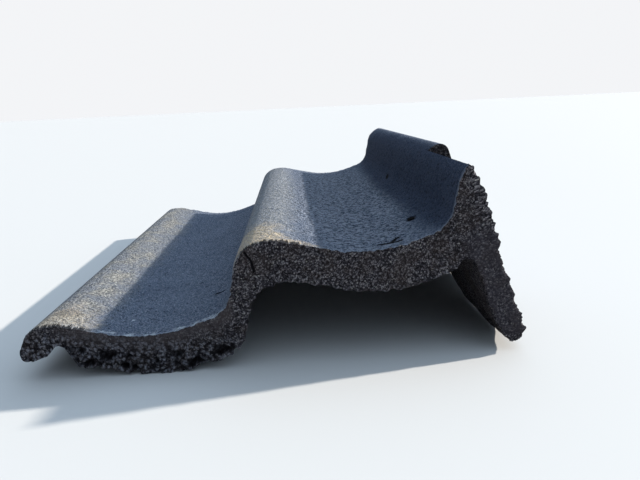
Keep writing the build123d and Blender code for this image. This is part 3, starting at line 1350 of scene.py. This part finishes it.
@dataclass
class Tile:
    """The tile as one closed casting: swept sections with gritty, crumbling end faces."""

    section: Section = field(default_factory=Section)
    wear: Wear = field(default_factory=Wear)
    tilt: float = 18.291
    length: float = 420.0
    head_rib: float = 20.0
    lap: float = 106.0
    front_rib: float = 14.0
    columns: int = 34
    corner_rows: float = 14.0
    chip_length: float = 40.0
    chip_height: float = 5.5
    chip_blend: float = 25.0
    chip_side: float = 60.0
    nail: Point = (49.43, 50.0)
    nail_radius: float = 2.6
    nail_levels: Point = (-8.0, 42.0)
    nail_points: int = 32
    nail_seed: int = 4
    nail_ragged: float = 0.03
    box_inset: float = 0.02
    relief_depth: float = 4.0
    sharp_angle: float = 45.0

    # Rings along the tile, closer near the ends, and the width of a step between two kinds
    join: float = 0.4
    head_rings: tuple[float, ...] = (0, 0.8, 1.7, 2.8, 4.2, 6.2, 9, 13, 17)
    lap_rings: tuple[float, ...] = (26, 33, 41, 50, 60, 71, 83, 94, 102)
    slant_parts: tuple[float, ...] = (0.3, 0.65, 1.0)
    main_rings: tuple[float, ...] = (130, 145, 162, 182, 205, 232, 262, 295, 325, 352, 375, 392, 401)
    front_rings: tuple[float, ...] = (411, 416, 418.6)

    def __post_init__(self) -> None:
        """Draws the noise that sides and end faces share."""
        self.grain = Grain(self.wear.seed)

    def rings(self) -> list[tuple[float, Kind, float]]:
        """Places of the rings along the tile.

        Returns:
            For each ring its place, its kind, and the kind's share on the inner side, where
            the rest is the lap's.
        """
        slant = self.section.lap_step
        front = self.length - self.front_rib
        parts = (self.join / slant, *self.slant_parts)
        rings = [(self.lap + part * slant, Kind.MAIN, part) for part in parts]
        plain = {
            Kind.HEAD: (*self.head_rings, self.head_rib),
            Kind.LAP: (self.head_rib + self.join, *self.lap_rings, self.lap),
            Kind.MAIN: (*self.main_rings, front),
            Kind.FRONT: (front + self.join, *self.front_rings, self.length),
        }
        rings += [(place, kind, 1.0) for kind, places in plain.items() for place in places]
        return sorted(rings, key=lambda ring: ring[0])

    def loop(self, y: float, outer: np.ndarray, inner: np.ndarray) -> np.ndarray:
        """Closed loop of a section: outer side, flap's bottom, inner side, lip's corner.

        The bottom is a straight run, and the corner is the lip's arc.

        Args:
            y: Place along the tile.
            outer: Outer side.
            inner: Inner side.

        Returns:
            The loop's points as u, y, w.
        """
        part = np.linspace(0.0, 1.0, self.columns + 2)[1:-1, None]
        foot = outer[-1] + part * (inner[-1] - outer[-1])
        corner = resample(self.section.shoulder()[1], self.columns + 2)[1:-1]
        flat = np.vstack([outer, foot, inner[::-1], corner[::-1]])
        return np.column_stack([flat[:, 0], np.full(len(flat), float(y)), flat[:, 1]])

    def end_face(self, loop: np.ndarray) -> np.ndarray:
        """Grid across a section, between its sides.

        Straight lines join the sides: (1 - t) * outer + t * inner, corrected near the first
        rows so that they follow the lip's corner.

        Args:
            loop: The section's loop.

        Returns:
            Points in rows along the section and columns across it, sides left out.
        """
        count, columns = self.section.size, self.columns
        outer = loop[:count]
        inner = loop[count + columns : 2 * count + columns][::-1]
        corner = loop[2 * count + columns :][::-1]
        t = np.linspace(0.0, 1.0, columns + 2)[1:-1]
        grid = outer[:, None] * (1 - t)[None, :, None] + inner[:, None] * t[None, :, None]
        fade = 1 - share(np.arange(count), 0.0, self.corner_rows)
        grid += fade[:, None, None] ** 2 * (corner - grid[0])[None]
        return grid[1:-1]

    def chipped(self, flat: np.ndarray) -> np.ndarray:
        """Lifts the flap's broken bottom corner at the head end.

        The lift falls from the chip's height at the end to none at its length, and fades
        upwards over the blend.

        Args:
            flat: Points as u, y, w.

        Returns:
            The moved points.
        """
        far, height = self.chip_length, self.chip_height
        lift = np.interp(flat[..., 1], [0.0, 0.4 * far, far], [height, 0.7 * height, 0.0])
        part = 1 - share(flat[..., 2], self.section.floor, self.chip_blend)
        moved = flat.copy()
        moved[..., 2] += lift * part * (flat[..., 0] > self.chip_side)
        return moved

    def noises(self, points: np.ndarray, rough: float, holes: Point) -> tuple[np.ndarray, ...]:
        """Noise that sides and end faces wear by.

        Args:
            points: Positions as u, y, w.
            rough: Size of the rough noise's cells.
            holes: Where holes start, and how soon they are whole.

        Returns:
            Stones, fine stones, rough noise and holes, from 0 to about 1.
        """
        first, second, third, fourth = self.wear.shifts
        near = self.grain.stones(points + first, self.wear.stone)
        fine = self.grain.stones(points + second, self.wear.fine)
        coarse = self.grain.smooth(points + third, rough)
        deep = share(self.grain.smooth(points + fourth, self.wear.hole), *holes)
        return near, fine, coarse, deep

    def worn_sides(self, rings: np.ndarray, coated: np.ndarray) -> tuple[np.ndarray, np.ndarray]:
        """Wears the sides back: fine grains all over, crumbled edges at both ends.

        A point moves by -a * n + b * (1 - e / 9) along the tile, where n is the section's outward
        normal, e the distance from the end, and a and b sum noise with the weights below. Next
        to an end a may be below zero, so that single grains stand out. The coated top moves by
        0.08 mm away from the ends, the lip less than the other edges, the flap's outer rim by
        its swell, and what rests on the floor by no less than a hair inwards.

        Args:
            rings: Loops along the tile, as rings of u, y, w.
            coated: Which points carry the coating, ring by ring.

        Returns:
            The worn rings and how far each point moved, in millimetres.
        """
        wear = self.wear
        u, y, w = np.moveaxis(rings, -1, 0)
        along = np.roll(rings, -1, 1) - np.roll(rings, 1, 1)
        normal = np.stack([-along[..., 2], np.zeros(u.shape), along[..., 0]], -1)
        normal /= np.linalg.norm(normal, axis=-1, keepdims=True)
        gap = np.minimum(y, self.length - y)
        close = (1 - share(gap, 0.0, wear.edge_reach)) ** wear.edge_power
        wide = 1 - share(gap, 0.0, wear.rim_reach)
        head = 1 - share(y, 0.0, wear.head_reach)
        near, fine, rough, holes = self.noises(rings, wear.rough, wear.holes)
        lump = self.grain.smooth(rings + wear.lump_shift, wear.lump)
        sink = 0.75 * near + 0.35 * fine

        flap = (u > wear.flap_u) & (w < wear.flap_w) & (normal[..., 0] > wear.flap_facing)
        toe = (w < self.section.floor + wear.toe_height) & (u > wear.toe_u)
        low = (u > wear.foot[0]) & (u < wear.foot[1])
        low &= (normal[..., 2] < 0.0) & (y < self.length / 2)
        lip = (u < wear.lip_u) & (w < wear.lip_w)
        swell = np.interp(w, *np.array(wear.swell).T)
        top = 0.08 + close * (0.1 + 1.9 * np.clip(rough + 0.5 * fine - 0.45, 0.0, 1.0))
        side = 0.4 * sink + 0.25 * rough
        side += close * (1.7 * rough + 1.3 * fine + 0.8 * lump - 2.1)
        side += wide * low * (0.6 * near + 1.8 * holes)
        side = np.where(lip, 0.3 * np.maximum(side, 0.2), side)
        side += toe * (0.8 * lump + wide * (0.9 * near + 0.6 * lump))
        side -= 0.9 * head * lip * (u > wear.lip_tip)
        side += flap * (1.0 - head) * np.clip(lump - 0.4, 0.0, 1.0)
        side += flap * head * (1.1 * rough + 0.9 * (lump - 0.5) - swell)
        turn = math.radians(self.tilt)
        above = u * math.sin(turn) + w * math.cos(turn)
        resting = above < above.min() + wear.rest_band
        side = np.where(resting, np.maximum(side, wear.rest_least), side)
        inward = np.where(coated, top, side)
        rim = 0.25 + 0.9 * rough + 0.5 * sink + 0.6 * flap * lump + low * holes
        rim *= np.where(lip, 0.5, 1.0)
        rim = np.where(y < self.length / 2, rim[0], -rim[-1]) * wide
        worn = rings - normal * inward[..., None]
        worn[..., 1] += rim
        return worn, np.maximum(inward, np.abs(rim))

    def worn_face(
        self, base: np.ndarray, worn: np.ndarray, side: float
    ) -> tuple[np.ndarray, np.ndarray, np.ndarray]:
        """Stands an end face's points back: grains, pits, a crumbled foot and smoother slurry.

        A point sinks by 0.35 mm plus grains, broad noise and pits, less where slurry closed the
        face, and meets the worn rim over the outermost rows and columns.

        Args:
            base: Smooth grid of the face.
            worn: Grid between the worn sides, its y that of the rim.
            side: 1 at the head end and -1 at the front end.

        Returns:
            The worn grid, how far each point moved and its share of slurry.
        """
        wear = self.wear
        u, w = base[..., 0], base[..., 2]
        wave = self.section.wave()
        down = np.interp(u, wave[:, 0], wave[:, 1]) - w
        near, fine, rough, holes = self.noises(base, wear.face_rough, wear.face_holes)
        broad = self.grain.smooth(base, wear.broad)
        low = share(down, *wear.foot_down) * share(-u, *wear.foot_left) * (side > 0)
        flap = share(-w, *wear.skim_down) * share(u, *wear.skim_right)
        flap *= share(w - self.section.floor, *wear.skim_foot)
        band = (1 - share(down, *wear.band_down)) * share(u, *wear.band_right)
        band *= share(-u, *wear.band_left)
        slurry = np.maximum(0.85 * flap, 0.9 * band) * np.clip((rough + 0.15) / 0.4, 0.4, 1.0)
        back = 0.35 + (0.75 * near + 0.35 * fine) * (0.8 + 1.1 * low)
        back += 0.5 * broad + 0.5 * rough + holes * (0.6 + 3.0 * low)
        back *= 1 - 0.72 * slurry
        edges = []
        for count, reach_in in zip(base.shape[:2], (wear.blend_rows, wear.blend_columns)):
            steps = np.arange(count)
            edges.append(share(np.minimum(steps + 1, count - steps), 0.0, reach_in))
        blend = np.minimum(edges[0][:, None], edges[1][None, :])
        moved = worn.copy()
        moved[..., 1] = base[..., 1] + (1 - blend) * (worn[..., 1] - base[..., 1])
        moved[..., 1] += side * blend * back
        return moved, back, slurry

    def casting(self) -> Casting:
        """All vertices and faces of the worn casting.

        Returns:
            The arrays that the mesh is made from.
        """
        section = self.section
        outer = {kind: section.outer(kind) for kind in Kind}
        inner = {kind: section.inner(kind) for kind in Kind}
        places = self.rings()
        loops = []
        for y, kind, part in places:
            under = (1 - part) * inner[Kind.LAP] + part * inner[kind]
            loops.append(self.loop(y, outer[kind], under))
        base = self.chipped(np.stack(loops))
        size, count = base.shape[1], section.size
        coat = np.zeros(base.shape[:2], bool)
        for row, (_, kind, _) in enumerate(places):
            coat[row, : sum(section.spans[:8]) if kind.lapped else count] = True
        worn, back = self.worn_sides(base, coat)

        ring = np.arange(size)
        after = np.roll(ring, -1)
        start = (np.arange(len(places) - 1) * size)[:, None]
        skin = np.stack([start + ring, start + after, start + size + after, start + size + ring], 2)
        slots = np.where(coat[1:] & coat[:-1], Face.COATED.value, Face.RAW.value)
        parts = Casting(
            [base.reshape(-1, 3)],
            [worn.reshape(-1, 3)],
            [skin.reshape(-1, 4)],
            [slots.reshape(-1)],
            [back.reshape(-1)],
            [np.zeros(back.size)],
        )
        for row, side in ((0, 1.0), (-1, -1.0)):
            smooth = self.end_face(base[row])
            moved, sunk, slurry = self.worn_face(smooth, self.end_face(worn[row]), side)
            first = sum(len(p) for p in parts.base)
            low = (row % len(places)) * size
            index = np.empty((count, self.columns + 2), int)
            index[:, 0] = low + np.arange(count)
            index[-1, 1:-1] = low + count + np.arange(self.columns)
            index[:, -1] = low + count + self.columns + np.arange(count)[::-1]
            index[0, 1:-1] = low + 2 * count + self.columns + np.arange(self.columns)[::-1]
            inside = np.arange((count - 2) * self.columns).reshape(count - 2, self.columns)
            index[1:-1, 1:-1] = first + inside
            quads = np.stack([index[:-1, :-1], index[:-1, 1:], index[1:, 1:], index[1:, :-1]], 2)
            quads = quads.reshape(-1, 4)
            parts.base.append(smooth.reshape(-1, 3))
            parts.worn.append(moved.reshape(-1, 3))
            parts.faces.append(quads if side > 0 else quads[:, ::-1])
            parts.slots.append(np.full(len(quads), Face.RAW.value))
            parts.back.append(sunk.reshape(-1))
            parts.slurry.append(slurry.reshape(-1))
        return parts

    def stance(self, base: np.ndarray) -> tuple[np.ndarray, np.ndarray]:
        """Turn and move from the flat casting to how it rests.

        A point is (u cos t - w sin t, y, u sin t + w cos t) plus the move that puts the smooth
        casting's box on the node's.

        Args:
            base: The smooth casting's points.

        Returns:
            The turn's matrix, and the move in metres.
        """
        angle = math.radians(self.tilt)
        cosine, sine = math.cos(angle), math.sin(angle)
        turn = np.array([[cosine, 0.0, -sine], [0.0, 1.0, 0.0], [sine, 0.0, cosine]])
        low, high = (np.array(corner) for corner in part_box(NODE))
        smooth = base @ turn.T * MM
        move = (low + high) / 2 - (smooth.min(0) + smooth.max(0)) / 2
        move[2] = low[2] - smooth[:, 2].min()
        return turn, move

    def placed(self, points: np.ndarray, base: np.ndarray) -> np.ndarray:
        """Puts flat points where they rest, in metres, held inside the CAD node's box.

        Args:
            points: Points as u, y, w.
            base: The smooth casting's points.

        Returns:
            Points in the row's frame.
        """
        turn, move = self.stance(base)
        low, high = (np.array(corner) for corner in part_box(NODE))
        inset = self.box_inset * MM
        return np.clip(points @ turn.T * MM + move, low + inset, high - inset)

    def build(self, materials: list[bpy.types.Material]) -> bpy.types.Object:
        """Makes the casting and bores its nail hole.

        Args:
            materials: Coated top and raw concrete.

        Returns:
            The tile's object.
        """
        parts = self.casting()
        base, worn = np.vstack(parts.base), np.vstack(parts.worn)
        faces, slots = np.vstack(parts.faces), np.concatenate(parts.slots)
        mesh = new_mesh("tile_casting", self.placed(worn, base), faces.tolist())
        for material in materials:
            mesh.materials.append(material)
        mesh.polygons.foreach_set("material_index", slots.astype(np.int32))
        mesh.polygons.foreach_set("use_smooth", np.ones(len(faces), bool))
        # Relief also drives the painted shade of deep pits on the raw faces.
        store(mesh, "relief", np.clip(np.concatenate(parts.back) / self.relief_depth, 0.0, 1.0))
        store(mesh, "slurry", np.concatenate(parts.slurry))
        store(mesh, "tile", base * MM)
        mesh.update()
        tile = shown("tile_casting", mesh)
        self.bore(tile, base)
        tile.data.set_sharp_from_angle(angle=math.radians(self.sharp_angle))
        log.info("casting: %d vertices, %d faces", len(tile.data.vertices), len(tile.data.polygons))
        return tile

    def bore(self, tile: bpy.types.Object, base: np.ndarray) -> None:
        """Cuts the nail hole with a slightly ragged cylinder.

        The cylinder's wall is r * (1 + noise) around the hole's axis.

        Args:
            tile: The tile's object, changed in place.
            base: The smooth casting's points, for the place.
        """
        count = self.nail_points
        angle = np.linspace(0.0, 2 * math.pi, count, endpoint=False)
        wobble = np.random.default_rng(self.nail_seed).normal(0.0, self.nail_ragged, count)
        ring = self.nail_radius * (1 + wobble)
        across, along = self.nail[0] + ring * np.cos(angle), self.nail[1] + ring * np.sin(angle)
        rows = [np.column_stack([across, along, np.full(count, w)]) for w in self.nail_levels]
        ids = np.arange(count)
        after = np.roll(ids, -1)
        walls = np.stack([ids, after, count + after, count + ids], 1).tolist()
        caps = [ids[::-1].tolist(), (count + ids).tolist()]
        mesh = new_mesh("nail_cutter", self.placed(np.vstack(rows), base), walls + caps)
        mesh.materials.append(tile.data.materials[Face.RAW.value])
        cutter = shown("nail_cutter", mesh)
        modifier = tile.modifiers.new("nail_hole", "BOOLEAN")
        modifier.operation = "DIFFERENCE"
        modifier.solver = "MANIFOLD"
        modifier.object = cutter
        bpy.context.view_layer.update()
        graph = bpy.context.evaluated_depsgraph_get()
        bored = bpy.data.meshes.new_from_object(tile.evaluated_get(graph))
        self.mapped_rim(bored, base)
        tile.modifiers.clear()
        old = tile.data
        tile.data = bored
        bpy.data.meshes.remove(old)
        bpy.data.objects.remove(cutter)
        bpy.data.meshes.remove(mesh)

    def mapped_rim(self, mesh: bpy.types.Mesh, base: np.ndarray) -> None:
        """Gives the points that the cut adds their place on the tile's map.

        The cut leaves them at nought. Their place is the resting one turned back, and their
        relief is full, so that the hole's wall gets the painted shade of deep pits.

        Args:
            mesh: The bored mesh, changed in place.
            base: The smooth casting's points.
        """
        turn, move = self.stance(base)
        spots = fetch(mesh.vertices, "co", 3)
        places = fetch(mesh.attributes["tile"].data, "vector", 3)
        relief = fetch(mesh.attributes["relief"].data, "value", 1)[:, 0]
        added = ~places.any(axis=1)
        places[added] = (spots[added] - move) @ turn
        relief[added] = 1.0
        store(mesh, "tile", places)
        store(mesh, "relief", relief)
        log.info("nail hole: %d points added", added.sum())


# The studio


@dataclass(frozen=True)
class Studio:
    """Pale floor, soft light and the camera."""

    camera_place: Triple = (0.0091816, -0.5463216, 0.1651264)
    camera_turn: Triple = (76.31045, 2.60547, -2.98433)
    lens: float = 31.5
    sensor: float = 36.0
    clip_start: float = 0.01
    floor_size: float = 60.0
    floor_colour: Colour = srgb(206, 206, 207)
    floor_roughness: float = 0.9
    key_from: Triple = (0.8996, 0.191, 0.4368)
    key_angle: float = 1.6
    key_power: float = 6.0
    key_colour: Triple = (1.0, 0.93, 0.82)
    fill_from: Triple = (0.52, 0.22, 0.83)
    fill_strength: float = 1.22
    fill_least: float = 0.07
    fill_limits: Point = (-0.25, 1.0)
    fill_colour: Colour = (0.67, 0.835, 1.0, 1.0)
    backdrop: Colour = (0.9, 0.91, 0.93, 1.0)

    def camera(self) -> None:
        """Sets the camera at the photograph's viewing angle."""
        data = bpy.data.cameras.new("camera")
        data.lens = self.lens
        data.sensor_width = self.sensor
        data.clip_start = self.clip_start
        camera = shown("camera", data)
        camera.location = self.camera_place
        camera.rotation_euler = [math.radians(a) for a in self.camera_turn]
        bpy.context.scene.camera = camera

    def floor(self) -> bpy.types.Object:
        """Makes the floor: matt, pale and much larger than what the camera sees.

        Returns:
            The floor.
        """
        half = self.floor_size / 2
        spots = np.array([(-half, -half, 0), (half, -half, 0), (half, half, 0), (-half, half, 0)])
        mesh = new_mesh("floor", spots, [(0, 1, 2, 3)])
        material, nodes = emptied("floor")
        look = {"Base Color": self.floor_colour, "Roughness": self.floor_roughness}
        shader = nodes.add("BsdfPrincipled", look)
        nodes.add("OutputMaterial", {"Surface": shader.outputs[0]})
        mesh.materials.append(material)
        floor = shown("floor", mesh)
        return floor

    def lights(self) -> None:
        """Adds a key from the right, and a fill that is strongest from above.

        The fill is s * (0.07 + 0.93 * t), where t rises from 0 to 1 with the cosine between the
        direction and the fill's own, from -0.25 to 1. Rays that show the backdrop see it plain.
        """
        data = bpy.data.lights.new("key", "SUN")
        data.angle = math.radians(self.key_angle)
        data.energy = self.key_power
        data.color = self.key_colour
        key = shown("key", data)
        key.rotation_euler = (-Vector(self.key_from)).to_track_quat("-Z", "Y").to_euler()
        world = bpy.data.worlds.new("studio")
        bpy.context.scene.world = world
        world.use_nodes = True
        world.node_tree.nodes.clear()
        nodes = Nodes(world.node_tree)
        rays = nodes.add("LightPath").outputs
        seen = nodes.most(*(rays[f"Is {kind} Ray"] for kind in ("Camera", "Glossy", "Transmission")))
        way = nodes.add("TexCoord").outputs["Generated"]
        cosine = nodes.length("DOT_PRODUCT", way, self.fill_from)
        least = self.fill_least * self.fill_strength
        strength = nodes.ramp(cosine, *self.fill_limits, least, self.fill_strength)
        fill = nodes.add("Background", {"Color": self.fill_colour, "Strength": strength})
        white = nodes.add("Background", {"Color": self.backdrop, "Strength": 1.0})
        both = nodes.add("MixShader", {0: seen, 1: fill.outputs[0], 2: white.outputs[0]})
        nodes.add("OutputWorld", {"Surface": both.outputs[0]})


def main() -> None:
    """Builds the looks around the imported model."""
    logging.basicConfig(level=logging.INFO, format="%(name)s: %(message)s")
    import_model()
    studio = Studio()
    studio.camera()
    studio.floor()
    studio.lights()
    log.info("studio ready")
    groups = {
        "aggregate": aggregate_group(),
        "stroke": stroke_group(),
        "top patch": patch_group(),
    }
    materials = [CoatedTop().build(groups), RawConcrete().build(groups)]
    tile = Tile().build(materials)
    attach(tile, BODY)
    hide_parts(NODE)
    bpy.context.scene.view_settings.view_transform = "Standard"
    log.info("sizes written")


if __name__ == "__main__":
    main()
